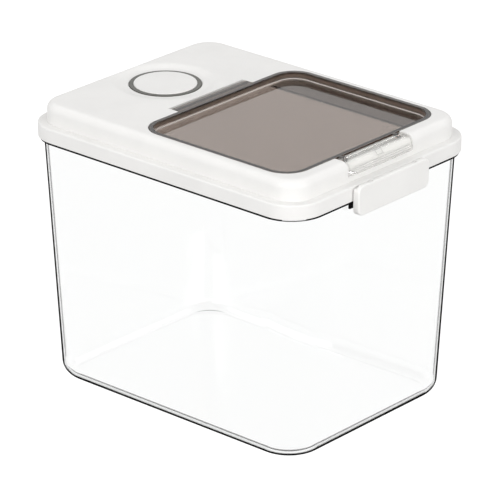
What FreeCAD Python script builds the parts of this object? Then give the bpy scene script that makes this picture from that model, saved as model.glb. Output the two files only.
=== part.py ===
import FreeCAD, Part
import math
import os

# Clear food storage bin with a white lid. Millimetres, +Z up, the front (latch side) faces -Y.
# The origin is on the resting plane, under the middle of the bin.

# Lid, outside sizes
lid_width = 230.0
lid_length = 303.0
lid_corner = 30.0
lid_wall = 2.2
skirt_height = 12.5
plateau_height = 17.5
plateau_inset = 8.0
shoulder_radius = 7.0
ledge_round = 1.5

# Collar of the lid, which plugs into the mouth of the tub
collar_inset = 9.4
collar_wall = 2.2
collar_lift = 3.0

# Tub, up to the flange that the lid's skirt stands on
tub_height = 221.0
tub_wall = 2.2
tub_floor = 3.0
wall_inset = 4.2
tub_draft = 6.8
tub_top_corner = 28.0
tub_foot_corner = 34.0
tub_base_round = 13.0
flange_back = 0.4
flange_thickness = 2.0
rim_rise = 7.0
catch_width = 95.0
catch_depth = 4.4
catch_wall = 2.0

# Lid gasket, between the rim of the tub and the ledge of the lid
gasket_width = 5.0

# Flip door, a shallow tray whose flange hangs in a rabbet of the lid
door_side_margin = 10.4
door_front_margin = 14.9
rear_deck = 115.0
door_corner = 22.0
door_flange_over = 1.9
door_flange_thickness = 1.8
door_depth = 8.6
door_floor = 2.4
door_wall = 1.8
door_floor_round = 1.6
door_gap = 0.5
tray_gap = 0.5

# Door gasket in the rabbet, and the strip of lid that carries the rabbet
door_gasket_thickness = 1.0
rabbet_strip_width = 6.0
rabbet_strip_thickness = 2.4

# Hinge of the door
hinge_back = 7.5
hinge_barrel = 2.5
hinge_half_width = 46.0
hinge_pin_radius = 1.3
hinge_rear_room = 1.4
hinge_boss = 6.0

# Latch at the front of the door
latch_half_width = 40.0
latch_barrel = 2.6
latch_pin_radius = 1.1
latch_thickness = 2.4
latch_lip_reach = 4.6
latch_lip_drop = 8.4
latch_lip_thickness = 1.9
latch_lip_corner = 7.0
latch_ear_x = 34.0
latch_ear_width = 4.0
latch_boss_width = 8.0
latch_boss_height = 5.0
latch_boss_rise = 0.6
latch_notch_depth = 12.5
latch_pocket_wall = 2.2

# Clasps at the front and the rear
clasp_half_width = 45.0
clasp_drop = 12.4
clasp_over_ledge = 1.0
clasp_thickness = 6.0
clasp_standoff = 0.9
clasp_corner = 6.0
clasp_edge_round = 1.4
clasp_top_rise = 2.6
clasp_barrel = 2.4
clasp_pin_radius = 1.0
clasp_ear_x = 28.0
clasp_ear_width = 5.0
clasp_ear_radius = 1.9
clasp_bead = 0.6

# Moisture absorber pot in the dish at the rear of the lid
dish_back = 57.0
dish_radius = 45.5
dish_floor_radius = 34.5
dish_depth = 2.6
pot_flange_radius = 31.0
pot_flange_thickness = 1.6
pot_flange_proud = 0.6
pot_seal_thickness = 0.8
pot_seal_width = 2.2
pot_wall = 1.6
pot_radius = 26.8
pot_depth = 22.0
pot_slot_count = 16
pot_slot_width = 2.0
pot_slot_height = 11.0
dish_pad = 3.4
cap_radius = 27.2
cap_rise = 0.7
cap_seat_depth = 1.2
cap_spigot_depth = 5.0
cap_spigot_wall = 1.5
cap_lug_height = 1.6
cap_lug_reach = 0.7
cap_lug_angle = 14.0
cap_twist = 50.0

# Clearances, the smallest inside corner, and how far a cut runs past the piece it opens
side_clearance = 0.5
running_fit = 0.05
press_clearance = 0.02
smallest_corner = 1.0
cut_past = 1.0

lid_front_y = -lid_length / 2
lid_rear_y = lid_length / 2
rim_z = tub_height
ledge_z = rim_z + skirt_height
top_z = ledge_z + plateau_height


def box(x0, x1, y0, y1, z0, z1):
    return Part.makeBox(x1 - x0, y1 - y0, z1 - z0, FreeCAD.Vector(x0, y0, z0))


def rod_x(radius, x0, x1, y, z):
    return Part.makeCylinder(radius, x1 - x0, FreeCAD.Vector(x0, y, z), FreeCAD.Vector(1, 0, 0))


def rod_z(radius, z0, z1, y):
    return Part.makeCylinder(radius, z1 - z0, FreeCAD.Vector(0, y, z0), FreeCAD.Vector(0, 0, 1))


def rounded_wire(width, length, radius, z, y=0.0):
    """Rounded rectangle at height z, centred on (0, y), with corners of one radius."""
    half_x = width / 2
    half_y = length / 2
    bend = radius * math.sqrt(0.5)
    edges = []
    corners = [(1, 1, 0), (-1, 1, 90), (-1, -1, 180), (1, -1, 270)]
    starts = []
    ends = []
    for side_x, side_y, angle in corners:
        centre_x = side_x * (half_x - radius)
        centre_y = y + side_y * (half_y - radius)
        turn = math.radians(angle)
        start = FreeCAD.Vector(centre_x + radius * math.cos(turn), centre_y + radius * math.sin(turn), z)
        middle = FreeCAD.Vector(centre_x + side_x * bend, centre_y + side_y * bend, z)
        end = FreeCAD.Vector(centre_x - radius * math.sin(turn), centre_y + radius * math.cos(turn), z)
        edges.append(Part.Arc(start, middle, end).toShape())
        starts.append(start)
        ends.append(end)
    outline = []
    for index, edge in enumerate(edges):
        outline.append(edge)
        outline.append(Part.LineSegment(ends[index], starts[(index + 1) % 4]).toShape())
    return Part.Wire(outline)


def prism(width, length, radius, z0, z1, y=0.0):
    face = Part.Face(rounded_wire(width, length, radius, z0, y))
    return face.extrude(FreeCAD.Vector(0, 0, z1 - z0))


def drafted(low, high, z0, z1):
    """Solid between two rounded rectangles, each given as (width, length, radius)."""
    return Part.makeLoft([rounded_wire(*low, z0), rounded_wire(*high, z1)], True, True)


def edges_at(shape, z):
    """Edges that lie flat at height z."""
    return [edge for edge in shape.Edges
            if abs(edge.BoundBox.ZMin - z) < 1e-3 and abs(edge.BoundBox.ZMax - z) < 1e-3]


def ring(width, length, radius, band, z0, z1, y=0.0):
    """Band of even width inside a rounded rectangle."""
    outer = prism(width, length, radius, z0, z1, y)
    inner = prism(width - 2 * band, length - 2 * band, max(radius - band, smallest_corner), z0, z1, y)
    return outer.cut(inner)


def profile_x(edges, x0, x1):
    """Closed outline in the YZ plane, drawn out along X."""
    solid = Part.Face(Part.Wire(edges)).extrude(FreeCAD.Vector(x1 - x0, 0, 0))
    solid.translate(FreeCAD.Vector(x0, 0, 0))
    return solid


def about_z(shape, angle):
    turned = shape.copy()
    turned.rotate(FreeCAD.Vector(0, 0, 0), FreeCAD.Vector(0, 0, 1), angle)
    return turned


# Tub

tub_top_width = lid_width - 2 * wall_inset
tub_top_length = lid_length - 2 * wall_inset
rim_top_z = rim_z + rim_rise
flange_width = lid_width - 2 * flange_back
flange_length = lid_length - 2 * flange_back
flange_bottom_z = rim_z - flange_thickness


def tub_plan(inward, z):
    """Plan of the tub's wall at height z, moved in from the outer face."""
    depth = 1 - z / rim_z
    step = tub_draft * depth + inward
    corner = tub_top_corner + (tub_foot_corner - tub_top_corner) * depth - inward
    return tub_top_width - 2 * step, tub_top_length - 2 * step, corner


def make_container():
    outer = drafted(tub_plan(0, 0), tub_plan(0, rim_z), 0, rim_z)
    outer = outer.makeFillet(tub_base_round, edges_at(outer, 0))
    inner = drafted(tub_plan(tub_wall, tub_floor), tub_plan(tub_wall, rim_z), tub_floor, rim_z)
    inner = inner.makeFillet(tub_base_round - tub_wall, edges_at(inner, tub_floor))
    rim = ring(*tub_plan(0, rim_z), tub_wall, rim_z, rim_top_z)
    flange = prism(flange_width, flange_length, lid_corner - flange_back, flange_bottom_z, rim_z)
    tub = outer.fuse([flange]).cut(inner).fuse(rim)
    for end in (-1, 1):
        outer_y = end * flange_length / 2
        inner_y = outer_y - end * catch_wall
        low_y, high_y = sorted((outer_y, inner_y))
        lip = box(-catch_width / 2, catch_width / 2, low_y, high_y,
                  flange_bottom_z - catch_depth, flange_bottom_z)
        tub = tub.fuse(lip)
    return tub.removeSplitter()


# Lid

plateau_width = lid_width - 2 * plateau_inset
plateau_length = lid_length - 2 * plateau_inset
plateau_corner = lid_corner - plateau_inset
plateau_front_y = -plateau_length / 2
collar_bottom_z = rim_z + collar_lift

door_width = plateau_width - 2 * door_side_margin
door_front_y = plateau_front_y + door_front_margin
door_hinge_y = lid_rear_y - rear_deck
door_length = door_hinge_y - door_front_y
door_y = (door_hinge_y + door_front_y) / 2
rabbet_z = top_z - door_flange_thickness - door_gasket_thickness
opening_inset = door_flange_over - tray_gap

hinge_y = door_hinge_y + hinge_back
hinge_z = top_z - hinge_barrel
hinge_pocket_z = hinge_z - hinge_barrel - side_clearance
hinge_pocket_half = hinge_half_width + side_clearance
hinge_pocket_rear_y = hinge_y + hinge_barrel + hinge_rear_room
hinge_pocket_front_y = hinge_y - hinge_barrel - side_clearance
hinge_pin_end = hinge_pocket_half + hinge_boss - lid_wall
tray_bottom_z = top_z - door_depth

latch_axis_y = door_front_y - latch_barrel - 2 * side_clearance
latch_axis_z = top_z - latch_barrel
latch_lip_z = top_z - latch_lip_drop
latch_notch_bottom_z = top_z - latch_notch_depth
latch_pocket_z = latch_axis_z - latch_barrel - side_clearance
latch_notch_half = latch_half_width + 2 * side_clearance
latch_pin_end = latch_half_width - 3 * side_clearance
bend_y = plateau_front_y + shoulder_radius
bend_z = top_z - shoulder_radius

clasp_axis_y = lid_front_y - clasp_standoff - clasp_barrel
clasp_top_z = ledge_z + clasp_over_ledge
clasp_bottom_z = rim_z - clasp_drop
clasp_axis_z = clasp_top_z - clasp_top_rise
clasp_pin_end = clasp_ear_x + clasp_ear_width

dish_y = lid_rear_y - dish_back
dish_floor_z = top_z - dish_depth
pot_rabbet_z = dish_floor_z + pot_flange_proud - pot_flange_thickness - pot_seal_thickness
pot_rabbet_radius = pot_flange_radius + side_clearance
pot_hole_radius = pot_radius + side_clearance


def door_outline(inset, z0, z1):
    """Block with the door's outline, moved in (or out, when negative) all round."""
    return prism(door_width - 2 * inset, door_length - 2 * inset, door_corner - inset, z0, z1, door_y)


def make_latch_notch():
    """Room in the front shoulder of the lid for the latch and its hinge."""
    face_y = plateau_front_y + latch_thickness + side_clearance
    bend = shoulder_radius - latch_thickness - side_clearance
    rear_y = latch_axis_y + latch_barrel + side_clearance
    front_y = latch_axis_y - latch_barrel - side_clearance
    far_y = lid_front_y - cut_past
    pocket = box(-latch_notch_half, latch_notch_half, front_y, rear_y, latch_pocket_z, top_z + cut_past)
    slab = box(-latch_notch_half, latch_notch_half, far_y, front_y, latch_notch_bottom_z, top_z + cut_past)
    core = box(-latch_notch_half, latch_notch_half, face_y, front_y, latch_notch_bottom_z, bend_z)
    crown = box(-latch_notch_half, latch_notch_half, bend_y, front_y, bend_z, bend_z + bend)
    corner = rod_x(bend, -latch_notch_half, latch_notch_half, bend_y, bend_z)
    return pocket.fuse(slab.cut(core.fuse([crown, corner])))


def make_clasp_ears(end):
    """Two ears on the skirt that hold one clasp's pin."""
    ears = []
    for side in (-1, 1):
        x0 = side * clasp_ear_x - clasp_ear_width / 2
        x1 = x0 + clasp_ear_width
        ear = rod_x(clasp_ear_radius, x0, x1, clasp_axis_y, clasp_axis_z)
        web = box(x0, x1, clasp_axis_y, lid_front_y + lid_wall / 2,
                  clasp_axis_z - clasp_ear_radius, clasp_axis_z)
        hole = rod_x(clasp_pin_radius + press_clearance, x0, x1, clasp_axis_y, clasp_axis_z)
        ears.append(about_z(ear.fuse(web).cut(hole), 0 if end < 0 else 180))
    return ears


def make_dish():
    """Shallow round dish with a soft edge, as a solid to cut away."""
    slope = (dish_radius - dish_floor_radius) / 2
    middle_r = dish_floor_radius + slope
    middle_z = top_z - dish_depth / 2
    low = FreeCAD.Vector(dish_floor_radius, 0, dish_floor_z)
    middle = FreeCAD.Vector(middle_r, 0, middle_z)
    high = FreeCAD.Vector(dish_radius, 0, top_z)
    bow = dish_depth / 8
    low_bend = (low + middle) * 0.5 - FreeCAD.Vector(0, 0, bow)
    high_bend = (middle + high) * 0.5 + FreeCAD.Vector(0, 0, bow)
    low_arc = Part.Arc(low, low_bend, middle)
    high_arc = Part.Arc(middle, high_bend, high)
    above = FreeCAD.Vector(dish_radius, 0, top_z + cut_past)
    axis_top = FreeCAD.Vector(0, 0, top_z + cut_past)
    axis_low = FreeCAD.Vector(0, 0, dish_floor_z)
    outline = Part.Wire([Part.LineSegment(axis_low, low).toShape(), low_arc.toShape(), high_arc.toShape(),
                         Part.LineSegment(high, above).toShape(),
                         Part.LineSegment(above, axis_top).toShape(),
                         Part.LineSegment(axis_top, axis_low).toShape()])
    dish = Part.Face(outline).revolve(FreeCAD.Vector(0, 0, 0), FreeCAD.Vector(0, 0, 1), 360)
    dish.translate(FreeCAD.Vector(0, dish_y, 0))
    return dish


def make_lid_shell():
    skirt = prism(lid_width, lid_length, lid_corner, rim_z, ledge_z)
    skirt = skirt.makeFillet(ledge_round, edges_at(skirt, ledge_z))
    plateau = prism(plateau_width, plateau_length, plateau_corner, rim_z, top_z)
    plateau = plateau.makeFillet(shoulder_radius, edges_at(plateau, top_z))
    skirt_room = prism(lid_width - 2 * lid_wall, lid_length - 2 * lid_wall, lid_corner - lid_wall,
                       rim_z, ledge_z - lid_wall)
    room_top_z = top_z - lid_wall
    plateau_room = prism(plateau_width - 2 * lid_wall, plateau_length - 2 * lid_wall,
                         plateau_corner - lid_wall, rim_z, room_top_z)
    plateau_room = plateau_room.makeFillet(shoulder_radius - lid_wall, edges_at(plateau_room, room_top_z))
    shell = skirt.fuse(plateau).cut(skirt_room).cut(plateau_room)

    collar = ring(lid_width - 2 * collar_inset, lid_length - 2 * collar_inset, lid_corner - collar_inset,
                  collar_wall, collar_bottom_z, ledge_z)
    under_top = top_z - lid_wall / 2
    strip_low_z = rabbet_z - rabbet_strip_thickness
    strip = door_outline(opening_inset - rabbet_strip_width, strip_low_z, under_top)
    hinge_house = box(-hinge_pocket_half - hinge_boss, hinge_pocket_half + hinge_boss,
                      hinge_pocket_front_y - lid_wall, hinge_pocket_rear_y + lid_wall,
                      hinge_pocket_z - lid_wall, under_top)
    latch_front_y = plateau_front_y + lid_wall / 2
    latch_rear_y = latch_axis_y + latch_barrel + side_clearance + lid_wall
    latch_side = latch_notch_half + latch_pocket_wall
    latch_wall_y = plateau_front_y + latch_thickness + side_clearance + latch_pocket_wall
    latch_floor = box(-latch_side, latch_side, latch_front_y, latch_rear_y,
                      latch_pocket_z - latch_pocket_wall, top_z - shoulder_radius / 2)
    latch_wall = box(-latch_side, latch_side, latch_front_y, latch_wall_y,
                     latch_notch_bottom_z - latch_pocket_wall, top_z - shoulder_radius / 2)
    pad = rod_z(dish_radius, dish_floor_z - dish_pad, under_top, dish_y)
    shell = shell.fuse([collar, strip, hinge_house, latch_floor, latch_wall, pad])

    shell = shell.cut(door_outline(opening_inset, rim_z, top_z + cut_past))
    shell = shell.cut(door_outline(-door_gap, rabbet_z, top_z + cut_past))
    hinge_pocket = box(-hinge_pocket_half, hinge_pocket_half, hinge_pocket_front_y, hinge_pocket_rear_y,
                       hinge_pocket_z, top_z + cut_past)
    hinge_bridge = box(-hinge_pocket_half, hinge_pocket_half, door_hinge_y, hinge_pocket_front_y,
                       rabbet_z, top_z + cut_past)
    pin_hole = rod_x(hinge_pin_radius + press_clearance, -hinge_pin_end, hinge_pin_end, hinge_y, hinge_z)
    shell = shell.cut(hinge_pocket.fuse(hinge_bridge)).cut(pin_hole)
    shell = shell.cut(make_latch_notch())
    shell = shell.cut(make_dish())
    shell = shell.cut(rod_z(pot_rabbet_radius, pot_rabbet_z, top_z, dish_y))
    shell = shell.cut(rod_z(pot_hole_radius, rim_z, top_z, dish_y))
    return shell.fuse(make_clasp_ears(-1) + make_clasp_ears(1)).removeSplitter()


def make_lid_gasket():
    middle_inset = wall_inset + tub_wall / 2
    inset = middle_inset - gasket_width / 2
    return ring(lid_width - 2 * inset, lid_length - 2 * inset, lid_corner - inset,
                gasket_width, rim_top_z, ledge_z - lid_wall)


def make_door_gasket():
    outer = door_outline(0, rabbet_z, rabbet_z + door_gasket_thickness)
    inner = door_outline(opening_inset, rabbet_z, rabbet_z + door_gasket_thickness)
    return outer.cut(inner)


# Door

def make_door():
    flange = door_outline(0, top_z - door_flange_thickness, top_z)
    tray = door_outline(door_flange_over, tray_bottom_z, top_z)
    tray = tray.makeFillet(door_floor_round + door_floor / 2, edges_at(tray, tray_bottom_z))
    well = door_outline(door_flange_over + door_wall, tray_bottom_z + door_floor, top_z)
    well = well.makeFillet(door_floor_round, edges_at(well, tray_bottom_z + door_floor))
    lug = rod_x(hinge_barrel, -hinge_half_width, hinge_half_width, hinge_y, hinge_z)
    web = box(-hinge_half_width, hinge_half_width, door_hinge_y - door_flange_over, hinge_y,
              top_z - door_flange_thickness, top_z)
    door = flange.fuse([tray, lug, web])
    for side in (-1, 1):
        x0 = side * latch_ear_x - latch_ear_width / 2
        x1 = x0 + latch_ear_width
        ear = rod_x(latch_barrel, x0, x1, latch_axis_y, latch_axis_z)
        arm = box(x0, x1, latch_axis_y, door_front_y + door_flange_over,
                  top_z - door_flange_thickness, top_z)
        door = door.fuse([ear, arm])
    door = door.cut(well)
    hinge_bore = rod_x(hinge_pin_radius + running_fit, -hinge_half_width, hinge_half_width, hinge_y, hinge_z)
    latch_bore = rod_x(latch_pin_radius + press_clearance, -latch_pin_end, latch_pin_end,
                       latch_axis_y, latch_axis_z)
    return door.cut(hinge_bore).cut(latch_bore).removeSplitter()


def make_hinge_pin():
    return rod_x(hinge_pin_radius, -hinge_pin_end, hinge_pin_end, hinge_y, hinge_z)


def make_latch_pin():
    return rod_x(latch_pin_radius, -latch_pin_end, latch_pin_end, latch_axis_y, latch_axis_z)


# Latch

def arc_point(centre_y, centre_z, radius, degrees):
    turn = math.radians(degrees)
    return FreeCAD.Vector(0, centre_y + radius * math.cos(turn), centre_z + radius * math.sin(turn))


def make_latch():
    """Clear tab that runs over the front shoulder and ends in a finger lip."""
    inner_bend = shoulder_radius - latch_thickness
    lip_y = plateau_front_y - latch_lip_reach
    top_rear = FreeCAD.Vector(0, latch_axis_y, top_z)
    top_front = FreeCAD.Vector(0, bend_y, top_z)
    outer_low = FreeCAD.Vector(0, plateau_front_y, bend_z)
    lip_top = FreeCAD.Vector(0, lip_y, latch_lip_z)
    lip_low = FreeCAD.Vector(0, lip_y, latch_lip_z - latch_lip_thickness)
    heel = FreeCAD.Vector(0, plateau_front_y + latch_thickness, bend_z - latch_lip_thickness)
    inner_low = FreeCAD.Vector(0, plateau_front_y + latch_thickness, bend_z)
    inner_top = FreeCAD.Vector(0, bend_y, top_z - latch_thickness)
    inner_rear = FreeCAD.Vector(0, latch_axis_y, top_z - latch_thickness)
    edges = [
        Part.LineSegment(top_rear, top_front).toShape(),
        Part.Arc(top_front, arc_point(bend_y, bend_z, shoulder_radius, 135), outer_low).toShape(),
        Part.LineSegment(outer_low, lip_top).toShape(),
        Part.LineSegment(lip_top, lip_low).toShape(),
        Part.LineSegment(lip_low, heel).toShape(),
        Part.LineSegment(heel, inner_low).toShape(),
        Part.Arc(inner_low, arc_point(bend_y, bend_z, inner_bend, 135), inner_top).toShape(),
        Part.LineSegment(inner_top, inner_rear).toShape(),
        Part.LineSegment(inner_rear, top_rear).toShape(),
    ]
    tab = profile_x(edges, -latch_half_width, latch_half_width)
    barrel = rod_x(latch_barrel, -latch_half_width, latch_half_width, latch_axis_y, latch_axis_z)
    keep = prism(2 * latch_half_width, 2 * (latch_axis_y + 2 * latch_barrel - lip_y), latch_lip_corner,
                 0, top_z + cut_past, latch_axis_y + 2 * latch_barrel)
    tab = tab.common(keep).fuse(barrel)
    boss = box(-latch_boss_width / 2, latch_boss_width / 2,
               plateau_front_y - latch_boss_rise, plateau_front_y + latch_thickness,
               bend_z - latch_lip_thickness / 2, bend_z + latch_boss_height / 2)
    tab = tab.fuse(boss)
    for side in (-1, 1):
        x0 = side * latch_ear_x - latch_ear_width / 2 - side_clearance
        x1 = x0 + latch_ear_width + 2 * side_clearance
        gap = box(x0, x1,
                  latch_axis_y - latch_barrel - side_clearance, latch_axis_y + latch_barrel + cut_past,
                  latch_axis_z - latch_barrel - cut_past, top_z + cut_past)
        tab = tab.cut(gap)
    tab = tab.cut(rod_x(latch_pin_radius + running_fit, -latch_half_width, latch_half_width,
                        latch_axis_y, latch_axis_z))
    return tab.removeSplitter()


# Clasps

def make_clasp():
    """Front clasp. The rear one is the same piece turned half round."""
    rear_y = lid_front_y - clasp_standoff
    corner = clasp_corner
    height = clasp_top_z - clasp_bottom_z
    plate = Part.Face(rounded_wire(2 * clasp_half_width, height, corner, 0)).extrude(
        FreeCAD.Vector(0, 0, clasp_thickness))
    plate = plate.makeFillet(clasp_edge_round, edges_at(plate, clasp_thickness))
    plate.rotate(FreeCAD.Vector(0, 0, 0), FreeCAD.Vector(1, 0, 0), 90)
    plate.translate(FreeCAD.Vector(0, rear_y, (clasp_top_z + clasp_bottom_z) / 2))
    swept = box(-clasp_half_width, clasp_half_width, clasp_axis_y, rear_y + cut_past,
                clasp_axis_z, clasp_top_z + cut_past)
    barrel = rod_x(clasp_barrel, -clasp_half_width + corner, clasp_half_width - corner,
                   clasp_axis_y, clasp_axis_z)
    bead_z = flange_bottom_z - catch_depth - side_clearance
    bead = rod_x(clasp_bead, -catch_width / 2 + corner, catch_width / 2 - corner, rear_y, bead_z - clasp_bead)
    clasp = plate.cut(swept).fuse([barrel, bead])
    slot_radius = clasp_ear_radius + side_clearance - running_fit
    for side in (-1, 1):
        x0 = side * clasp_ear_x - clasp_ear_width / 2 - side_clearance
        x1 = x0 + clasp_ear_width + 2 * side_clearance
        slot = rod_x(slot_radius, x0, x1, clasp_axis_y, clasp_axis_z)
        slot_way = box(x0, x1, clasp_axis_y - slot_radius, rear_y + cut_past,
                       clasp_axis_z - slot_radius, clasp_top_z + cut_past)
        clasp = clasp.cut(slot.fuse(slot_way))
    clasp = clasp.cut(rod_x(clasp_pin_radius + running_fit, -clasp_pin_end, clasp_pin_end,
                            clasp_axis_y, clasp_axis_z))
    return clasp.removeSplitter()


def make_clasp_pin():
    return rod_x(clasp_pin_radius, -clasp_pin_end, clasp_pin_end, clasp_axis_y, clasp_axis_z)


# Moisture absorber pot

pot_flange_bottom_z = pot_rabbet_z + pot_seal_thickness
pot_flange_top_z = pot_flange_bottom_z + pot_flange_thickness
pot_bottom_z = pot_flange_top_z - pot_depth
cap_seat_z = pot_flange_top_z - cap_seat_depth
spigot_radius = pot_radius - pot_wall - side_clearance / 2
lug_z = cap_seat_z - cap_spigot_depth + cap_lug_height / 2


def wedge(inner, outer, z0, z1, start, sweep):
    """Part of a ring about the pot's axis, from one angle through another."""
    turn = math.radians(start)
    way = FreeCAD.Vector(math.cos(turn), math.sin(turn), 0)
    points = [FreeCAD.Vector(way.x * r, way.y * r, z) for r, z in
              ((inner, z0), (outer, z0), (outer, z1), (inner, z1), (inner, z0))]
    section = Part.Face(Part.makePolygon(points))
    piece = section.revolve(FreeCAD.Vector(0, 0, 0), FreeCAD.Vector(0, 0, 1), sweep)
    piece.translate(FreeCAD.Vector(0, dish_y, 0))
    return piece


def make_absorber_pot():
    cup = rod_z(pot_radius, pot_bottom_z, pot_flange_top_z, dish_y)
    flange = rod_z(pot_flange_radius, pot_flange_bottom_z, pot_flange_top_z, dish_y)
    pot = cup.fuse(flange)
    pot = pot.cut(rod_z(pot_radius - pot_wall, pot_bottom_z + pot_wall, pot_flange_top_z, dish_y))
    pot = pot.cut(rod_z(cap_radius + side_clearance / 2, cap_seat_z, pot_flange_top_z + cut_past, dish_y))
    slot = box(pot_radius - 2 * pot_wall, pot_radius + cut_past, -pot_slot_width / 2, pot_slot_width / 2,
               pot_bottom_z + 2 * pot_wall, pot_bottom_z + 2 * pot_wall + pot_slot_height)
    slots = []
    for index in range(pot_slot_count):
        turned = about_z(slot, index * 360 / pot_slot_count)
        turned.translate(FreeCAD.Vector(0, dish_y, 0))
        slots.append(turned)
    pot = pot.cut(slots)
    track_low = lug_z - cap_lug_height / 2 - side_clearance
    track_high = lug_z + cap_lug_height / 2 + side_clearance
    spare = cap_lug_angle / 2
    for start in (0, 180):
        track = wedge(pot_radius - 2 * pot_wall, spigot_radius + cap_lug_reach + side_clearance / 2,
                      track_low, track_high, start - spare, cap_lug_angle + cap_twist + 2 * spare)
        entry = wedge(pot_radius - 2 * pot_wall, spigot_radius + cap_lug_reach + side_clearance / 2,
                      track_low, cap_seat_z + cut_past, start + cap_twist - spare, cap_lug_angle + 2 * spare)
        pot = pot.cut(track.fuse(entry))
    return pot.removeSplitter()


def make_absorber_seal():
    seal = rod_z(pot_flange_radius, pot_rabbet_z, pot_flange_bottom_z, dish_y)
    return seal.cut(rod_z(pot_flange_radius - pot_seal_width, pot_rabbet_z, pot_flange_bottom_z, dish_y))


def make_absorber_cap():
    """White disc with a spigot and two bayonet lugs."""
    top = pot_flange_top_z + cap_rise
    disc = rod_z(cap_radius, cap_seat_z, top, dish_y)
    disc = disc.makeFillet(cap_rise, edges_at(disc, top))
    spigot_low_z = cap_seat_z - cap_spigot_depth
    spigot = rod_z(spigot_radius, spigot_low_z, cap_seat_z, dish_y)
    spigot = spigot.cut(rod_z(spigot_radius - cap_spigot_wall, spigot_low_z, cap_seat_z, dish_y))
    lugs = [wedge(spigot_radius - cap_spigot_wall / 2, spigot_radius + cap_lug_reach,
                  lug_z - cap_lug_height / 2, lug_z + cap_lug_height / 2, start, cap_lug_angle)
            for start in (0, 180)]
    return disc.fuse([spigot] + lugs).removeSplitter()


front_clasp = make_clasp()
clasp_pin = make_clasp_pin()

nodes = {
    "container": make_container(),
    "lid_shell": make_lid_shell(),
    "lid_gasket": make_lid_gasket(),
    "door_gasket": make_door_gasket(),
    "door_panel": make_door(),
    "door_hinge_pin": make_hinge_pin(),
    "door_latch": make_latch(),
    "latch_pin": make_latch_pin(),
    "front_clasp": front_clasp,
    "front_clasp_pin": clasp_pin,
    "rear_clasp": about_z(front_clasp, 180),
    "rear_clasp_pin": about_z(clasp_pin, 180),
    "absorber_pot": make_absorber_pot(),
    "absorber_seal": make_absorber_seal(),
    "absorber_cap": make_absorber_cap(),
}

os.makedirs("parts", exist_ok=True)
for name, shape in nodes.items():
    print(f"{name}: {len(shape.Solids)} solid, {shape.Volume:.1f} mm3, valid {shape.isValid()}")
    shape.exportStep(f"parts/{name}.step")
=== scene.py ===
import math

import bmesh
import bpy
from mathutils import Matrix, Vector


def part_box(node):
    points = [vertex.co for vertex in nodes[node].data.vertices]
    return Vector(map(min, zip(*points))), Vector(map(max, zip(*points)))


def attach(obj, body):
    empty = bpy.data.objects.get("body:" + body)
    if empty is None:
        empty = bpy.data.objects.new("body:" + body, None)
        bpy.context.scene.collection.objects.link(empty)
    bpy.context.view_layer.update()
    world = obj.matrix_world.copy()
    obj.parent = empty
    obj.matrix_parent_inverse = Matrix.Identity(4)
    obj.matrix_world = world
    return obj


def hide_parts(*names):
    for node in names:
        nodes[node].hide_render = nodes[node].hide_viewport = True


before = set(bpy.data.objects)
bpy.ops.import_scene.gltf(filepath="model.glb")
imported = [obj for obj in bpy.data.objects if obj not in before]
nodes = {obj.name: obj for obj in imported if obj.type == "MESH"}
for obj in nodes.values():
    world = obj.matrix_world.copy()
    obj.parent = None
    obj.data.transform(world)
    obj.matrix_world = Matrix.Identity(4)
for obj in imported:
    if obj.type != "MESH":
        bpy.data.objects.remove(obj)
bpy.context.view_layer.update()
scene = bpy.context.scene
mm = 0.001
mergeGap = 1e-6   # metres between points that become one
print("frame loaded:", len(nodes), "nodes")


# helpers for shader and geometry trees
def feed(tree, socket, value):
    if isinstance(value, bpy.types.NodeSocket):
        tree.links.new(value, socket)
    else:
        socket.default_value = value


def addNode(tree, kind, inputs=None, **settings):
    node = tree.nodes.new(kind)
    for key, value in settings.items():
        setattr(node, key, value)
    for key, value in (inputs or {}).items():
        feed(tree, node.inputs[key], value)
    return node


def maths(tree, operation, first, second=0.0):
    return addNode(tree, "ShaderNodeMath", {0: first, 1: second}, operation=operation).outputs[0]


def mapRange(tree, value, fromSpan, toSpan):
    inputs = {"Value": value, "From Min": fromSpan[0], "From Max": fromSpan[1], "To Min": toSpan[0],
              "To Max": toSpan[1]}
    return addNode(tree, "ShaderNodeMapRange", inputs).outputs["Result"]


def mixColour(tree, factor, first, second):
    node = addNode(tree, "ShaderNodeMix", data_type="RGBA")
    for place, value in ((0, factor), (6, first), (7, second)):   # the colour sockets share their names
        feed(tree, node.inputs[place], value)
    return node.outputs[2]


def objectNoise(tree, scale, detail):
    place = tree.nodes.new("ShaderNodeTexCoord")
    noise = addNode(tree, "ShaderNodeTexNoise", {"Vector": place.outputs["Object"], "Scale": scale,
                                                 "Detail": detail})
    return noise.outputs["Fac"]


def bumpNormal(tree, height, strength, depth, normal=None):
    inputs = {"Height": height, "Strength": strength, "Distance": depth * mm}
    if normal:
        inputs["Normal"] = normal
    return addNode(tree, "ShaderNodeBump", inputs).outputs["Normal"]


def rgba(colour):
    return (*colour, 1.0)


def grey(level):
    return (level, level, level, 1.0)


def newMaterial(name):
    material = bpy.data.materials.new(name)
    material.use_nodes = True
    tree = material.node_tree
    tree.nodes.clear()
    output = tree.nodes.new("ShaderNodeOutputMaterial")
    return material, tree, output


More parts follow.
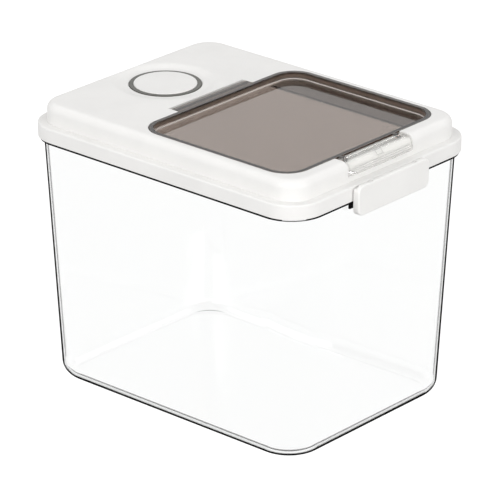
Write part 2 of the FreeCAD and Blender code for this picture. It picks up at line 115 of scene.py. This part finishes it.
# moulded opaque plastic: a fine satin grain, faint clouding and softened edges
mouldedLooks = {
    "lidWhite": {"colour": (0.82, 0.812, 0.797), "cloud": 0.97, "rough": (0.44, 0.56), "grain": 0.03,
                 "edge": 0.6},
    "claspWhite": {"colour": (0.835, 0.827, 0.81), "cloud": 0.97, "rough": (0.42, 0.54), "grain": 0.03,
                   "edge": 0.5},
    "discWhite": {"colour": (0.82, 0.812, 0.797), "cloud": 0.97, "rough": (0.44, 0.56), "grain": 0.03,
                  "edge": 0.4},
    # the pale smoky tone below colours only the door tray's bead, a painted highlight
    "paintedHighlightSmoky": {"colour": (0.60, 0.555, 0.52), "cloud": 0.95, "rough": (0.22, 0.34), "grain": 0.02,
                  "edge": 0.2},
    "ringGrey": {"colour": (0.105, 0.105, 0.092), "cloud": 0.85, "rough": (0.34, 0.48), "grain": 0.05,
                 "edge": 0.3},
}
mouldedGrain = {"cloudScale": 28.0, "cloudDetail": 4.0, "cloudSpan": (0.35, 0.65), "roughScale": 140.0,
                "roughDetail": 3.0, "roughSpan": (0.3, 0.7), "grainScale": 2600.0, "grainDetail": 2.0,
                "grainDepth": 0.2, "edgeSamples": 4, "ior": 1.46}


def mouldedPlastic(name):
    look = mouldedLooks[name]
    grain = mouldedGrain
    material, tree, output = newMaterial(name)
    cloud = mapRange(tree, objectNoise(tree, grain["cloudScale"], grain["cloudDetail"]), grain["cloudSpan"],
                     (0.0, 1.0))
    dull = [level * look["cloud"] for level in look["colour"]]
    colour = mixColour(tree, cloud, rgba(look["colour"]), rgba(dull))
    rough = mapRange(tree, objectNoise(tree, grain["roughScale"], grain["roughDetail"]), grain["roughSpan"],
                     look["rough"])
    edge = addNode(tree, "ShaderNodeBevel", {"Radius": look["edge"] * mm}, samples=grain["edgeSamples"])
    normal = bumpNormal(tree, objectNoise(tree, grain["grainScale"], grain["grainDetail"]), look["grain"],
                        grain["grainDepth"], edge.outputs["Normal"])
    surface = addNode(tree, "ShaderNodeBsdfPrincipled", {"Base Color": colour, "Roughness": rough,
                                                         "Normal": normal, "IOR": grain["ior"]})
    tree.links.new(surface.outputs[0], output.inputs["Surface"])
    return material


# clear and smoky plastic both have a slow wave in their surface and let lamp light through
plasticWave = {"roughDetail": 3.0, "roughSpan": (0.35, 0.7), "waveDetail": 2.0, "waveStrength": 0.02}


def wavySurface(tree, look):
    rough = mapRange(tree, objectNoise(tree, look["roughScale"], look["roughDetail"]), look["roughSpan"],
                     look["rough"])
    normal = bumpNormal(tree, objectNoise(tree, look["waveScale"], look["waveDetail"]), look["waveStrength"],
                        look["waveDepth"])
    return addNode(tree, "ShaderNodeBsdfPrincipled", {
        "Base Color": rgba(look["tint"]), "Roughness": rough, "Normal": normal, "IOR": look["ior"],
        "Transmission Weight": look["through"]})


def passLight(tree, rays, body, tint):
    # the rays named go straight through, tinted
    straight = addNode(tree, "ShaderNodeBsdfTransparent", {"Color": rgba(tint)})
    return addNode(tree, "ShaderNodeMixShader", {0: rays, 1: body.outputs[0], 2: straight.outputs[0]})


# clear plastic: refracts, and on the tub a black painted shade line is mixed in along thin edges and where a
# round turns away
clearWave = {**plasticWave, "roughScale": 60.0, "waveScale": 18.0, "waveDepth": 0.5}
clearLooks = {
    # the tub's near-black line colour is painted shade, standing for the dark its edges show by refraction
    "tubClear": {**clearWave, "tint": (0.985, 0.988, 0.986), "rough": (0.0, 0.03), "ior": 1.46,
                 "through": 1.0, "paintedShadeColour": (0.006, 0.006, 0.006), "lineSoft": 0.12},
    "latchClear": {**clearWave, "tint": (0.995, 0.993, 0.986), "rough": (0.04, 0.10), "ior": 1.12,
                   "through": 0.94},
    # latch beads: a grey, mostly opaque tone that paints the shade the tab's moulded ridges show
    "latchShadeLine": {**clearWave, "tint": (0.56, 0.556, 0.545), "rough": (0.20, 0.30), "ior": 1.30,
                  "through": 0.1},
}


def faceTowards(tree, normal=None):
    # 1 where the surface faces the eye and 0 at its outline
    facing = addNode(tree, "ShaderNodeLayerWeight", {"Normal": normal} if normal else None)
    return maths(tree, "SUBTRACT", 1.0, facing.outputs["Facing"])


# painted shade: mixes a black diffuse into the tub along thin edges and where its rounds turn away from the
# eye
def paintShadeLines(tree, look, body):
    paintedEdgeShade = addNode(tree, "ShaderNodeAttribute", attribute_name="paintedEdgeShade").outputs["Fac"]
    turnLimit = addNode(tree, "ShaderNodeAttribute", attribute_name="turnLimit").outputs["Fac"]
    edgeRun = addNode(tree, "ShaderNodeAttribute", attribute_name="edgeRun").outputs["Vector"]
    # how far the curve has turned away, taken across the line's own run so that it keeps its width
    along = maths(tree, "POWER", faceTowards(tree, edgeRun), 2.0)
    across = maths(tree, "SQRT", maths(tree, "SUBTRACT", 1.0001, along))   # stays above 0
    turned = maths(tree, "DIVIDE", maths(tree, "DIVIDE", faceTowards(tree), across), turnLimit)
    line = mapRange(tree, turned, (1.0 - look["lineSoft"], 1.0 + look["lineSoft"]), (1.0, 0.0))
    shadeAmount = maths(tree, "MAXIMUM", line, paintedEdgeShade)
    dark = addNode(tree, "ShaderNodeBsdfDiffuse", {"Color": rgba(look["paintedShadeColour"])})
    return addNode(tree, "ShaderNodeMixShader", {0: shadeAmount, 1: body.outputs[0], 2: dark.outputs[0]})


def clearPlastic(name):
    look = clearLooks[name]
    material, tree, output = newMaterial(name)
    body = wavySurface(tree, look)
    if "paintedShadeColour" in look:
        body = paintShadeLines(tree, look, body)
    # bounced light goes straight through as lamp light does, so that nothing behind is lit twice
    path = tree.nodes.new("ShaderNodeLightPath")
    rays = maths(tree, "MAXIMUM", path.outputs["Is Shadow Ray"], path.outputs["Is Diffuse Ray"])
    surface = passLight(tree, rays, body, look["tint"])
    tree.links.new(surface.outputs[0], output.inputs["Surface"])
    return material


# smoky plastic of the door: the tint comes from the thickness that light crosses
smokyLook = {**plasticWave, "tint": (0.97, 0.965, 0.96), "filter": (0.66, 0.60, 0.56), "density": 1180.0,
             "shadow": (0.62, 0.575, 0.54), "rough": (0.02, 0.07), "ior": 1.46, "through": 1.0,
             "roughScale": 90.0, "waveScale": 25.0, "waveDepth": 0.4}


def smokyPlastic():
    look = smokyLook
    material, tree, output = newMaterial("doorSmoky")
    body = wavySurface(tree, look)
    path = tree.nodes.new("ShaderNodeLightPath")
    surface = passLight(tree, path.outputs["Is Shadow Ray"], body, look["shadow"])
    smoke = addNode(tree, "ShaderNodeVolumeAbsorption", {"Color": rgba(look["filter"]),
                                                         "Density": look["density"]})
    tree.links.new(surface.outputs[0], output.inputs["Surface"])
    tree.links.new(smoke.outputs[0], output.inputs["Volume"])
    return material


# soft seals
sealLook = {"dark": (0.60, 0.59, 0.57), "light": (0.68, 0.67, 0.65), "cloudScale": 45.0, "cloudDetail": 4.0,
            "grainScale": 1800.0, "grainDetail": 2.0, "grain": 0.08, "grainDepth": 0.2, "rough": 0.55,
            "ior": 1.41, "sheen": 0.1}


def siliconeRubber():
    look = sealLook
    material, tree, output = newMaterial("sealSilicone")
    cloud = objectNoise(tree, look["cloudScale"], look["cloudDetail"])
    colour = mixColour(tree, cloud, rgba(look["dark"]), rgba(look["light"]))
    normal = bumpNormal(tree, objectNoise(tree, look["grainScale"], look["grainDetail"]), look["grain"],
                        look["grainDepth"])
    surface = addNode(tree, "ShaderNodeBsdfPrincipled", {
        "Base Color": colour, "Roughness": look["rough"], "Normal": normal, "IOR": look["ior"],
        "Sheen Weight": look["sheen"]})
    tree.links.new(surface.outputs[0], output.inputs["Surface"])
    return material


# drawn steel pins: fine scratches along X, the way that every pin lies
steelLook = {"dark": (0.50, 0.50, 0.49), "light": (0.62, 0.615, 0.60), "scratch": (40.0, 3000.0, 3000.0),
             "scratchDetail": 3.0, "roughSpan": (0.3, 0.7), "rough": (0.22, 0.38)}


def drawnSteel():
    look = steelLook
    material, tree, output = newMaterial("pinSteel")
    place = tree.nodes.new("ShaderNodeTexCoord")
    along = addNode(tree, "ShaderNodeMapping", {"Vector": place.outputs["Object"], "Scale": look["scratch"]})
    scratch = addNode(tree, "ShaderNodeTexNoise", {"Vector": along.outputs[0], "Scale": 1.0,
                                                   "Detail": look["scratchDetail"]}).outputs["Fac"]
    colour = mixColour(tree, scratch, rgba(look["dark"]), rgba(look["light"]))
    rough = mapRange(tree, scratch, look["roughSpan"], look["rough"])
    surface = addNode(tree, "ShaderNodeBsdfPrincipled", {"Base Color": colour, "Metallic": 1.0,
                                                         "Roughness": rough})
    tree.links.new(surface.outputs[0], output.inputs["Surface"])
    return material


materials = {name: mouldedPlastic(name) for name in mouldedLooks}
materials.update({name: clearPlastic(name) for name in clearLooks})
materials["doorSmoky"] = smokyPlastic()
materials["sealSilicone"] = siliconeRubber()
materials["pinSteel"] = drawnSteel()
print("materials made:", len(materials))


# what the two Geometry Nodes trees share
def startTree(name, shapeIn, sizes, shapeOut):
    tree = bpy.data.node_groups.new(name, "GeometryNodeTree")
    tree.interface.new_socket(shapeIn, in_out="INPUT", socket_type="NodeSocketGeometry")
    for label, kind in sizes:
        tree.interface.new_socket(label, in_out="INPUT", socket_type="NodeSocket" + kind)
    tree.interface.new_socket(shapeOut, in_out="OUTPUT", socket_type="NodeSocketGeometry")
    return tree, tree.nodes.new("NodeGroupInput").outputs


def endTree(tree, geometry, finish):
    smooth = addNode(tree, "GeometryNodeSetShadeSmooth", {"Geometry": geometry})
    whole = addNode(tree, "GeometryNodeRealizeInstances", {"Geometry": smooth.outputs["Geometry"]})
    finished = addNode(tree, "GeometryNodeSetMaterial", {"Geometry": whole.outputs["Geometry"],
                                                         "Material": finish})
    output = tree.nodes.new("NodeGroupOutput")
    tree.links.new(finished.outputs["Geometry"], output.inputs[0])
    return tree


def runTree(name, tree, points, edges, values):
    # runs the tree once on a line of edges and keeps the result as a plain mesh
    line = bpy.data.meshes.new(name + "Line")
    line.from_pydata([tuple(value * mm for value in point) for point in points], edges, [])
    piece = bpy.data.objects.new(name, line)
    scene.collection.objects.link(piece)
    modifier = piece.modifiers.new("shape", "NODES")
    modifier.node_group = tree
    for item in tree.interface.items_tree:
        if item.in_out == "INPUT" and item.name in values:
            modifier[item.identifier] = values[item.name]
    ready = piece.evaluated_get(bpy.context.evaluated_depsgraph_get())
    made = bpy.data.meshes.new_from_object(ready)
    piece.modifiers.remove(modifier)
    piece.data = made
    made.name = name
    return piece


def arcPoints(centreX, centreY, radius, fromAngle, toAngle, steps):
    points = []
    for step in range(steps + 1):
        turn = math.radians(fromAngle + (toAngle - fromAngle) * step / steps)
        points.append((centreX + radius * math.cos(turn), centreY + radius * math.sin(turn)))
    return points


# tree that lays a wall's section round a rounded rectangle
# a section point holds (distance out from the outline, change of the corner's radius, height)
def sectionTree():
    sizes = (("Width", "Float"), ("Length", "Float"), ("Corner", "Float"), ("Corner Steps", "Int"),
             ("Finish", "Material"))
    tree, given = startTree("sectionRoundRectangle", "Section", sizes, "Swept")
    size = addNode(tree, "GeometryNodeAttributeDomainSize", {"Geometry": given["Section"]})
    rows = size.outputs["Point Count"]
    steps = given["Corner Steps"]
    columns = maths(tree, "ADD", maths(tree, "MULTIPLY", steps, 4.0), 1.0)
    grid = addNode(tree, "GeometryNodeMeshGrid", {"Vertices X": columns, "Vertices Y": rows})

    # each column of the grid is one direction round the outline, and each row one point of the section
    index = tree.nodes.new("GeometryNodeInputIndex").outputs[0]
    row = maths(tree, "FLOORED_MODULO", index, rows)
    column = maths(tree, "FLOOR", maths(tree, "DIVIDE", index, rows))
    quarter = maths(tree, "FLOOR", maths(tree, "DIVIDE", maths(tree, "ADD", column, 0.5), steps))
    within = maths(tree, "SUBTRACT", column, maths(tree, "MULTIPLY", quarter, steps))
    share = maths(tree, "DIVIDE", within, maths(tree, "SUBTRACT", steps, 1.0))
    turn = maths(tree, "MULTIPLY", maths(tree, "ADD", quarter, share), math.pi / 2)
    middle = maths(tree, "MULTIPLY", maths(tree, "ADD", quarter, 0.5), math.pi / 2)

    place = tree.nodes.new("GeometryNodeInputPosition").outputs[0]
    sample = addNode(tree, "GeometryNodeSampleIndex", {"Geometry": given["Section"], "Index": row},
                     data_type="FLOAT_VECTOR", domain="POINT")
    tree.links.new(place, sample.inputs["Value"])
    point = addNode(tree, "ShaderNodeSeparateXYZ", {0: sample.outputs["Value"]}).outputs
    corner = maths(tree, "ADD", given["Corner"], point[1])
    spots = []
    for side, wave in (("Width", "COSINE"), ("Length", "SINE")):
        half = maths(tree, "ADD", maths(tree, "MULTIPLY", given[side], 0.5), point[0])
        sign = maths(tree, "SIGN", maths(tree, wave, middle))
        centre = maths(tree, "MULTIPLY", sign, maths(tree, "SUBTRACT", half, corner))
        spots.append(maths(tree, "ADD", centre, maths(tree, "MULTIPLY", corner, maths(tree, wave, turn))))
    spot = addNode(tree, "ShaderNodeCombineXYZ", {0: spots[0], 1: spots[1], 2: point[2]})
    laid = addNode(tree, "GeometryNodeSetPosition", {"Geometry": grid.outputs["Mesh"],
                                                     "Position": spot.outputs[0]})
    closed = addNode(tree, "GeometryNodeMergeByDistance", {"Geometry": laid.outputs["Geometry"],
                                                           "Distance": mergeGap})
    return endTree(tree, closed.outputs["Geometry"], given["Finish"])


# tub: one section from the underside, up the outer wall, over the rim and down the inner wall
tubSizes = {
    "topCorner": 28.0, "footCorner": 34.0, "cornerSteps": 24, "draft": 6.8, "wall": 2.2, "floor": 3.0,
    "baseRound": 13.0, "baseSteps": 14, "flangeOut": 3.8, "flangeThick": 2.0, "flangeRound": 0.4,
    "flangeSteps": 4, "rimRise": 7.0, "rimRound": 0.9, "rimSteps": 5, "catchHalf": 47.5, "catchDepth": 4.4,
    "catchWall": 2.0, "catchRound": 0.4, "catchSteps": 2, "catchLap": 0.4, "catchEnd": 2.6,
    "sharpAngle": 35.0,
}
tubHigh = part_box("container")[1] / mm
tubSizes["width"] = 2 * (tubHigh.x - tubSizes["flangeOut"])   # outer wall at the rim
tubSizes["length"] = 2 * (tubHigh.y - tubSizes["flangeOut"])
tubSizes["rimZ"] = tubHigh.z - tubSizes["rimRise"]
tubSizes["flangeLow"] = tubSizes["rimZ"] - tubSizes["flangeThick"]

# the tub's painted shade lines: how far a curve turns before it shows one, full painted shade on thin edges,
# and the slack in mm that tells one face from the next
tubShadeLines = {"none": 0.0001, "corner": 0.30, "foot": 0.48, "edge": 1.0, "slack": 0.1, "levelSlack": 0.01}


def wallX(z, inward):
    return -tubSizes["draft"] * (1 - z / tubSizes["rimZ"]) - inward


def footArc(lowZ, inward, radius):
    # arc that runs from level ground into the leaning wall
    lean = math.atan(tubSizes["draft"] / tubSizes["rimZ"])
    middleZ = lowZ + radius
    middleX = wallX(middleZ, inward) - radius / math.cos(lean)
    return arcPoints(middleX, middleZ, radius, -90.0, -math.degrees(lean), tubSizes["baseSteps"])


def tubSection():
    sizes = tubSizes
    wall, rimZ, flangeLow = sizes["wall"], sizes["rimZ"], sizes["flangeLow"]
    flangeRound, flangeSteps = sizes["flangeRound"], sizes["flangeSteps"]
    rimRound, rimSteps = sizes["rimRound"], sizes["rimSteps"]
    flangeX = sizes["flangeOut"] - flangeRound
    roundZ = rimZ + sizes["rimRise"] - rimRound
    points = footArc(0.0, 0.0, sizes["baseRound"])
    points += [(wallX(flangeLow, 0.0), flangeLow)]
    points += arcPoints(flangeX, flangeLow + flangeRound, flangeRound, -90.0, 0.0, flangeSteps)
    points += arcPoints(flangeX, rimZ - flangeRound, flangeRound, 0.0, 90.0, flangeSteps)
    points += [(0.0, rimZ)]
    points += arcPoints(-rimRound, roundZ, rimRound, 0.0, 90.0, rimSteps)
    points += arcPoints(rimRound - wall, roundZ, rimRound, 90.0, 180.0, rimSteps)
    points += [(-wall, rimZ)]
    points += reversed(footArc(sizes["floor"], wall, sizes["baseRound"] - wall))

    # the corner opens out towards the foot, and follows the wall's thickness and the flange
    spread = sizes["footCorner"] - sizes["topCorner"]
    section = []
    for out, z in points:
        depth = 1 - min(z, rimZ) / rimZ
        section.append((out, out + (sizes["draft"] + spread) * depth, z))
    return section


def fillHoles(shape):
    # closes the tub's underside and inner floor
    bmesh.ops.remove_doubles(shape, verts=shape.verts, dist=mergeGap)
    rims = [edge for edge in shape.edges if edge.is_boundary]
    bmesh.ops.holes_fill(shape, edges=rims, sides=0)
    bmesh.ops.recalc_face_normals(shape, faces=shape.faces)


def roundedPlate(shape, low, high, radius, steps):
    made = bmesh.ops.create_cube(shape, size=1.0)["verts"]
    size = Vector(high) - Vector(low)
    middle = (Vector(high) + Vector(low)) / 2
    for vert in made:
        vert.co = (vert.co * size + middle) * mm
    edges = list({edge for vert in made for edge in vert.link_edges})
    bmesh.ops.bevel(shape, geom=edges, offset=radius * mm, segments=steps, profile=0.5, affect="EDGES")


def addCatchLips(shape):
    # a lip hangs under the flange at the front and the rear, in three plates, so that its ends can carry
    # painted shade
    sizes = tubSizes
    lowZ = sizes["flangeLow"] - sizes["catchDepth"]
    highZ = sizes["flangeLow"] + sizes["catchLap"]
    outer = sizes["length"] / 2 + sizes["flangeOut"]
    endX, midX = sizes["catchHalf"], sizes["catchHalf"] - sizes["catchEnd"]
    stops = (-endX, -midX, midX, endX)
    for side in (-1, 1):
        near, far = sorted((side * (outer - sizes["catchWall"]), side * outer))
        for left, right in zip(stops, stops[1:]):
            roundedPlate(shape, (left, near, lowZ), (right, far, highZ), sizes["catchRound"],
                         sizes["catchSteps"])


def markLines(shape):
    # per face: full painted shade on thin edges, how far a round turns before its painted shade line, and the
    # way that line runs
    sizes = tubSizes
    slack, levelSlack = tubShadeLines["slack"], tubShadeLines["levelSlack"]
    shape.normal_update()
    paintedEdgeShade = shape.faces.layers.float.new("paintedEdgeShade")
    turnLimit = shape.faces.layers.float.new("turnLimit")
    edgeRun = shape.faces.layers.float_vector.new("edgeRun")
    flangeLow = sizes["flangeLow"]
    lipLow = flangeLow - sizes["catchDepth"] - slack
    lipInner = sizes["flangeOut"] - sizes["catchWall"] - slack
    for face in shape.faces:
        place = face.calc_center_median() / mm
        outX = abs(place.x) - sizes["width"] / 2
        outY = abs(place.y) - sizes["length"] / 2
        onFlange = flangeLow - slack < place.z < sizes["rimZ"] + slack and max(outX, outY) > 0.0
        onCorner = min(outX, outY) > -sizes["footCorner"] and place.z > sizes["baseRound"]
        onFoot = levelSlack < place.z < sizes["baseRound"] and abs(place.z - sizes["floor"]) > levelSlack
        onLip = lipLow < place.z < flangeLow and outY > lipInner
        lipEnd = onLip and abs(place.x) > sizes["catchHalf"] - sizes["catchEnd"]
        # the flange and the lip ends get full painted shade
        face[paintedEdgeShade] = tubShadeLines["edge"] if onFlange or lipEnd else 0.0
        face[turnLimit] = tubShadeLines["corner" if onCorner else "foot" if onFoot else "none"]
        level = Vector((0.0, 0.0, 1.0)).cross(face.normal).normalized()
        face[edgeRun] = level if onFoot else face.normal.cross(level)


def makeTub():
    sizes = tubSizes
    finish = materials["tubClear"]
    section = tubSection()
    edges = [(step, step + 1) for step in range(len(section) - 1)]
    tub = runTree("tubShell", sectionTree(), section, edges, {
        "Width": sizes["width"] * mm, "Length": sizes["length"] * mm, "Corner": sizes["topCorner"] * mm,
        "Corner Steps": sizes["cornerSteps"], "Finish": finish})
    shape = bmesh.new()
    shape.from_mesh(tub.data)
    fillHoles(shape)
    addCatchLips(shape)
    markLines(shape)
    for face in shape.faces:
        face.smooth = True
        face.material_index = 0
    shape.to_mesh(tub.data)
    shape.free()
    tub.data.materials.clear()
    tub.data.materials.append(finish)
    tub.data.set_sharp_from_angle(angle=math.radians(sizes["sharpAngle"]))
    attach(tub, "tub")
    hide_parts("container")


makeTub()
print("tub made")


# tree that sweeps a round bead along a path
def beadTree():
    sizes = (("Radius", "Float"), ("Sides", "Int"), ("Finish", "Material"))
    tree, given = startTree("beadAlongPath", "Path", sizes, "Bead")
    path = addNode(tree, "GeometryNodeMeshToCurve", {"Mesh": given["Path"]})
    circle = addNode(tree, "GeometryNodeCurvePrimitiveCircle", {"Resolution": given["Sides"],
                                                                "Radius": given["Radius"]})
    swept = addNode(tree, "GeometryNodeCurveToMesh", {"Curve": path.outputs["Curve"], "Fill Caps": True,
                                                      "Profile Curve": circle.outputs["Curve"]})
    return endTree(tree, swept.outputs["Mesh"], given["Finish"])


pathBead = beadTree()


def layBeads(name, paths, sizes, finish):
    # a path that ends where it began is closed
    points, edges = [], []
    for path in paths:
        first = len(points)
        closed = path[0] == path[-1]
        points += path[:-1] if closed else path
        last = len(points) - 1
        edges += [(step, step + 1) for step in range(first, last)]
        edges += [(last, first)] if closed else []
    return runTree(name, pathBead, points, edges, {"Radius": sizes["radius"] * mm, "Sides": sizes["sides"],
                                                   "Finish": finish})


# latch tab: fine beads in rows across its outer face, along its rim and round a small boss, for moulded
# ridges whose grey tone is painted shade
# places along the face run from the top of the bend (0) to the lip (1)
latchBeads = {
    "radius": 0.28, "sides": 8, "sink": 0.10, "rimIn": 0.6, "rimFrom": 0.12, "halfWidth": 40.0, "corner": 7.0,
    "bend": 7.0, "reach": 4.6, "lipDrop": 8.4, "lipShare": 0.9, "rowsAt": (0.16, 0.70, 0.84), "rowIn": 2.5,
    "steps": 16, "bossHalf": 3.6, "bossFrom": 0.22, "bossTo": 0.52,
}


def latchFace(along):
    # point (y, z) in mm on the tab's outer face
    sizes = latchBeads
    bend, reach, sink = sizes["bend"], sizes["reach"], sizes["sink"]
    low, high = [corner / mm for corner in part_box("door_latch")]
    frontY = low.y + reach
    bendY, bendZ = frontY + bend, high.z - bend
    fall = sizes["lipDrop"] - bend
    arc = bend * math.pi / 2
    slope = math.hypot(reach, fall)
    gone = along * (arc + slope)
    if gone < arc:
        turn = math.pi / 2 + gone / bend
        return bendY + (bend - sink) * math.cos(turn), bendZ + (bend - sink) * math.sin(turn)
    share = (gone - arc) / slope
    return frontY + sink - share * (reach - sink), bendZ - share * (sink + fall)


def latchRows():
    sizes = latchBeads
    half = sizes["halfWidth"] - sizes["rimIn"] - sizes["rowIn"]
    steps = sizes["steps"]
    return [[(half * (2 * step / steps - 1), *latchFace(along)) for step in range(steps + 1)]
            for along in sizes["rowsAt"]]


def latchRim():
    sizes = latchBeads
    corner = sizes["corner"]
    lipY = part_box("door_latch")[0].y / mm
    edge = sizes["halfWidth"] - sizes["rimIn"]
    steps = sizes["steps"] * 2
    side = []
    for step in range(steps + 1):
        y, z = latchFace(sizes["rimFrom"] + (1 - sizes["rimFrom"]) * step / steps)
        # the lower corners are rounded in plan, and the bead stays inside the lip
        past = lipY + corner - y
        inset = corner - math.sqrt(max(corner ** 2 - max(past, 0.0) ** 2, 0.0))
        side.append((edge - inset, y + (sizes["rimIn"] if past > corner * sizes["lipShare"] else 0.0), z))
    return side + [(-x, y, z) for x, y, z in reversed(side)]


def latchBoss():
    half = latchBeads["bossHalf"]
    high, low = latchFace(latchBeads["bossFrom"]), latchFace(latchBeads["bossTo"])
    return [(-half, *low), (-half, *high), (half, *high), (half, *low), (-half, *low)]


tabPaths = [*latchRows(), latchRim(), latchBoss()]
tabShadeLines = layBeads("latchTabShadeBeads", tabPaths, latchBeads, materials["latchShadeLine"])
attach(tabShadeLines, "latch")


# door tray: a pale bead round the foot of its wall, a painted highlight for the light its fillet catches
trayHighlightBead = {"radius": 0.48, "sides": 8, "inset": 4.27, "rise": 2.97, "corner": 17.73, "cornerSteps": 10}


def trayPath():
    sizes = trayHighlightBead
    low, high = [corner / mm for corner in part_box("door_gasket")]
    middle = (low + high) / 2
    inset = sizes["inset"] + sizes["corner"]
    halfX = (high.x - low.x) / 2 - inset
    halfY = (high.y - low.y) / 2 - inset
    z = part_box("door_panel")[0].z / mm + sizes["rise"]
    points = []
    for quarter, (signX, signY) in enumerate(((1, 1), (-1, 1), (-1, -1), (1, -1))):
        turn = 90.0 * quarter
        arc = arcPoints(middle.x + signX * halfX, middle.y + signY * halfY, sizes["corner"], turn,
                        turn + 90.0, sizes["cornerSteps"])
        points += [(x, y, z) for x, y in arc]
    return points + points[:1]


highlightRing = layBeads("doorTrayHighlight", [trayPath()], trayHighlightBead, materials["paintedHighlightSmoky"])
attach(highlightRing, "door")
print("beads made")


# CAD nodes that keep their shape
nodeFinish = {
    "lid_shell": "lidWhite", "front_clasp": "claspWhite", "rear_clasp": "claspWhite",
    "absorber_cap": "discWhite", "absorber_pot": "ringGrey", "door_panel": "doorSmoky",
    "door_latch": "latchClear",
    "lid_gasket": "sealSilicone", "door_gasket": "sealSilicone", "absorber_seal": "sealSilicone",
    "door_hinge_pin": "pinSteel", "latch_pin": "pinSteel", "front_clasp_pin": "pinSteel",
    "rear_clasp_pin": "pinSteel",
}
for name, finish in nodeFinish.items():
    mesh = nodes[name].data
    mesh.materials.clear()
    mesh.materials.append(materials[finish])
print("node finishes set:", len(nodeFinish))


# studio: white floor that shows as background, white surround, two large soft lamps and two small ones
studio = {"floorHalf": 8.0, "floorDrop": 0.0003, "floorAlbedo": 0.55, "floorFleck": 0.99, "fleckScale": 40.0,
          "fleckDetail": 3.0, "floorGlow": 0.64, "surround": 0.60}
# the large lamps aren't mirrored, so that the door stays smoky from every side
lamps = {
    "leftSoft": {"place": (-2.4, -0.3, 1.2), "size": 2.4, "watts": 29.4, "mirrored": False},
    "frontSoft": {"place": (-0.5, -2.6, 1.3), "size": 2.4, "watts": 37.3, "mirrored": False},
    "rearSmall": {"place": (-0.22, 1.36, 1.75), "size": 0.4, "watts": 4.0, "mirrored": True},
    "rightSmall": {"place": (1.55, 0.0, 1.63), "size": 0.35, "watts": 3.0, "mirrored": True},
}


def backgroundRays(tree, path):
    seen = path.outputs["Is Camera Ray"]
    for kind in ("Is Glossy Ray", "Is Transmission Ray"):
        seen = maths(tree, "MAXIMUM", seen, path.outputs[kind])
    return seen


def floorPaper():
    material, tree, output = newMaterial("floorPaper")
    path = tree.nodes.new("ShaderNodeLightPath")
    albedo = studio["floorAlbedo"]
    fleck = objectNoise(tree, studio["fleckScale"], studio["fleckDetail"])
    colour = mixColour(tree, fleck, grey(albedo * studio["floorFleck"]), grey(albedo))
    matt = addNode(tree, "ShaderNodeBsdfDiffuse", {"Color": colour})
    glow = maths(tree, "MULTIPLY", backgroundRays(tree, path), studio["floorGlow"])
    shine = addNode(tree, "ShaderNodeEmission", {"Color": grey(1.0), "Strength": glow})
    lit = addNode(tree, "ShaderNodeAddShader", {0: matt.outputs[0], 1: shine.outputs[0]})
    # seen through the plastic it is plain white
    white = addNode(tree, "ShaderNodeEmission", {"Color": grey(1.0), "Strength": 1.0})
    surface = addNode(tree, "ShaderNodeMixShader", {0: path.outputs["Is Transmission Ray"], 1: lit.outputs[0],
                                                    2: white.outputs[0]})
    tree.links.new(surface.outputs[0], output.inputs["Surface"])
    return material


def makeFloor():
    half = studio["floorHalf"]
    corners = ((-half, -half), (half, -half), (half, half), (-half, half))
    mesh = bpy.data.meshes.new("studioFloor")
    mesh.from_pydata([(x, y, -studio["floorDrop"]) for x, y in corners], [], [(0, 1, 2, 3)])
    mesh.materials.append(floorPaper())
    floor = bpy.data.objects.new("studioFloor", mesh)
    scene.collection.objects.link(floor)


def makeSurround():
    world = bpy.data.worlds.new("studioSurround")
    world.use_nodes = True
    scene.world = world
    tree = world.node_tree
    tree.nodes.clear()
    path = tree.nodes.new("ShaderNodeLightPath")
    strength = mapRange(tree, backgroundRays(tree, path), (0.0, 1.0), (studio["surround"], 1.0))
    back = addNode(tree, "ShaderNodeBackground", {"Color": grey(1.0), "Strength": strength})
    output = tree.nodes.new("ShaderNodeOutputWorld")
    tree.links.new(back.outputs[0], output.inputs["Surface"])


def makeLamps():
    for name, lamp in lamps.items():
        data = bpy.data.lights.new(name, "AREA")
        data.shape = "DISK"
        data.size = lamp["size"]
        data.energy = lamp["watts"]
        light = bpy.data.objects.new(name, data)
        light.location = lamp["place"]
        light.visible_glossy = lamp["mirrored"]
        light.rotation_euler = (-Vector(lamp["place"])).to_track_quat("-Z", "Y").to_euler()
        scene.collection.objects.link(light)


makeFloor()
makeSurround()
makeLamps()
scene.view_settings.view_transform = "Standard"
print("studio made")


# camera at the photograph's angle
cameraView = {"azimuth": -48.4684, "elevation": 23.0225, "distance": 3.2207, "lens": 269.44, "sensor": 36.0,
              "aimRight": 1.15 * mm, "aimUp": 111.8 * mm, "clipNear": 0.05, "clipFar": 60.0}


def makeCamera():
    view = cameraView
    azimuth = math.radians(view["azimuth"])
    elevation = math.radians(view["elevation"])
    level = math.cos(elevation)
    back = Vector((math.sin(azimuth) * level, -math.cos(azimuth) * level, math.sin(elevation)))
    right = Vector((math.cos(azimuth), math.sin(azimuth), 0.0))
    up = back.cross(right)
    data = bpy.data.cameras.new("photoCamera")
    data.lens = view["lens"]
    data.sensor_width = view["sensor"]
    data.clip_start = view["clipNear"]
    data.clip_end = view["clipFar"]
    camera = bpy.data.objects.new("photoCamera", data)
    place = right * view["aimRight"] + up * view["aimUp"] + back * view["distance"]
    turn = Matrix((right, up, back)).transposed().to_4x4()
    camera.matrix_world = Matrix.Translation(place) @ turn
    scene.collection.objects.link(camera)
    scene.camera = camera


makeCamera()
